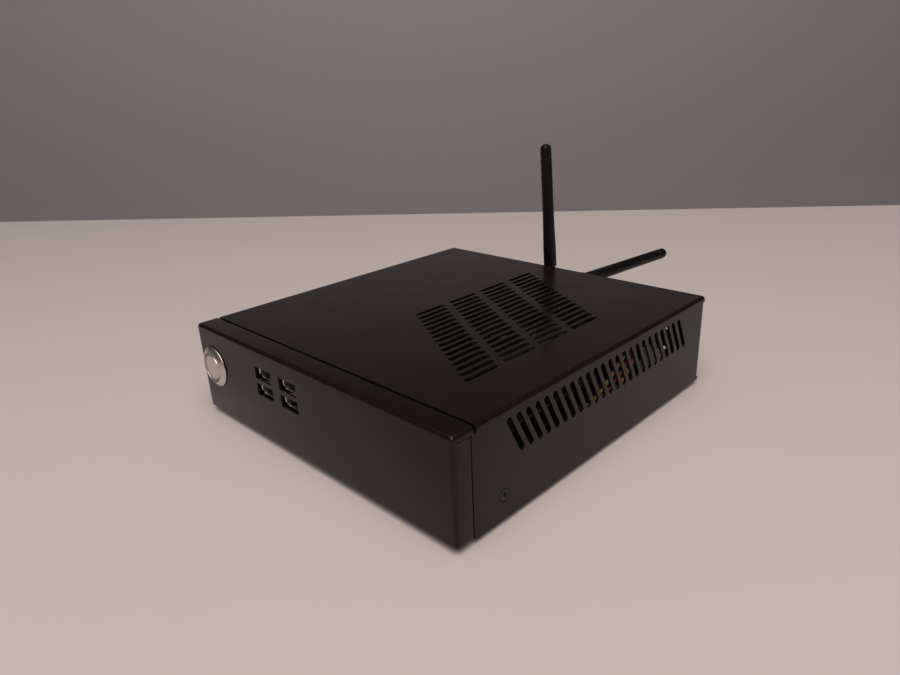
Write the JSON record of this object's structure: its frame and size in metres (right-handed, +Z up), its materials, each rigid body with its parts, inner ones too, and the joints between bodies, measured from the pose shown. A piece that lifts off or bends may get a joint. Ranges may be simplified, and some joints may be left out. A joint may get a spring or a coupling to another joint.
{
  "type": "small desktop computer",
  "caption": "Low black steel desktop computer with a push-button, stacked front sockets, slotted vents and folding antennas behind.",
  "frame": {"origin": "middle of the foot plane under the whole object, antennas included as they are posed", "axes": "+X to the right seen from the front, +Y from the front face to the back, +Z up"},
  "size_m": [0.193, 0.3029, 0.1272],
  "materials": {
    "black_coat": "fine-textured satin black powder coat on 1.2 mm steel sheet",
    "bracket_steel": "bare zinc-coated sheet",
    "socket_steel": "bright nickel-plated stamped shell",
    "button_steel": "turned stainless steel, satin face and bright bevels",
    "nut_steel": "nickel-plated, bright",
    "button_lens": "milky diffuser ring, unlit",
    "black_screw": "black zinc",
    "foot_rubber": "matt black rubber",
    "socket_plastic": "moulded black thermoplastic",
    "circuit_board": "green solder mask over glass-fibre laminate",
    "processor_lid": "nickel-plated lid",
    "fin_aluminium": "bare extruded aluminium",
    "fan_plastic": "moulded black thermoplastic",
    "jack_brass": "gold-plated brass jack parts",
    "antenna_plastic": "satin black moulded elastomer",
    "drive_shell": "black anodised drive shell",
    "harness_wire": "yellow, red, orange and black insulated wires",
    "lead_jacket": "black cable jacket"
  },
  "bodies": {
    "case": {"chassis": "black_coat", "front_bezel": "black_coat", "top_cover": "black_coat", "drive_bracket": "bracket_steel", "front_usb_left_shell": "socket_steel", "front_usb_right_shell": "socket_steel", "back_usb_left_shell": "socket_steel", "back_usb_right_shell": "socket_steel", "hdmi_port": "socket_steel", "lan_port": "socket_steel", "io_shield": "socket_steel", "power_button_housing": "button_steel", "power_button_nut": "nut_steel", "power_button_light_ring": "button_lens", "side_screw_left": "black_screw", "side_screw_right": "black_screw", "rear_screw_left": "black_screw", "rear_screw_right": "black_screw", "bezel_screw_left": "black_screw", "bezel_screw_right": "black_screw", "foot_front_left": "foot_rubber", "foot_front_right": "foot_rubber", "foot_back_left": "foot_rubber", "foot_back_right": "foot_rubber", "front_usb_left_insert": "socket_plastic", "front_usb_right_insert": "socket_plastic", "back_usb_left_insert": "socket_plastic", "back_usb_right_insert": "socket_plastic", "dc_jack": "socket_plastic", "audio_jacks": "socket_plastic", "power_button_contact_block": "socket_plastic", "memory_socket": "socket_plastic", "mainboard": "circuit_board", "front_usb_board": "circuit_board", "memory_module": "circuit_board", "wireless_card": "circuit_board", "processor": "processor_lid", "heatsink": "fin_aluminium", "fan_frame": "fan_plastic", "antenna_jack_left": "jack_brass", "antenna_jack_right": "jack_brass", "antenna_jack_nut_left": "jack_brass", "antenna_jack_nut_right": "jack_brass", "antenna_coupling_left": "jack_brass", "antenna_coupling_right": "jack_brass", "solid_state_drive": "drive_shell", "drive_power_harness": "harness_wire", "drive_data_lead": "lead_jacket", "front_panel_lead": "lead_jacket", "front_usb_lead": "lead_jacket", "antenna_lead_left": "lead_jacket", "antenna_lead_right": "lead_jacket"},
    "power_button_plunger": {"power_button_cap": "button_steel"},
    "cpu_fan_rotor": {"fan_rotor": "fan_plastic"},
    "antenna_left_base": {"antenna_knuckle_left": "antenna_plastic", "antenna_pin_left": "nut_steel"},
    "antenna_left_whip_arm": {"antenna_whip_left": "antenna_plastic"},
    "antenna_right_base": {"antenna_knuckle_right": "antenna_plastic", "antenna_pin_right": "nut_steel"},
    "antenna_right_whip_arm": {"antenna_whip_right": "antenna_plastic"}
  },
  "joints": [
    {"name": "power_button_press", "type": "slide", "parent": "case", "child": "power_button_plunger", "axis": [0, 1, 0], "range_m": [0, 0.0012], "stiffness_N_per_m": 1500, "springref_m": -0.001},
    {"name": "cpu_fan_spin", "type": "hinge", "parent": "case", "child": "cpu_fan_rotor", "pos_m": [0.0293, -0.04026, 0.0393], "axis": [0, 0, 1], "continuous": true},
    {"name": "antenna_left_swivel", "type": "hinge", "parent": "case", "child": "antenna_left_base", "pos_m": [-0.01925, 0.06684, 0.0415], "axis": [0, 1, 0], "range_deg": [-86.66, 3.34]},
    {"name": "antenna_left_fold", "type": "hinge", "parent": "antenna_left_base", "child": "antenna_left_whip_arm", "pos_m": [-0.01925, 0.06684, 0.0415], "axis": [-0.9983, 0, -0.0583], "range_deg": [0, 90]},
    {"name": "antenna_right_swivel", "type": "hinge", "parent": "case", "child": "antenna_right_base", "pos_m": [0.0053, 0.06684, 0.0415], "axis": [0, 1, 0], "range_deg": [-79.7, 10.3]},
    {"name": "antenna_right_fold", "type": "hinge", "parent": "antenna_right_base", "child": "antenna_right_whip_arm", "pos_m": [0.0053, 0.06684, 0.0415], "axis": [-0.1788, 0, 0.9839], "range_deg": [-80.3, 9.7]}
  ]
}
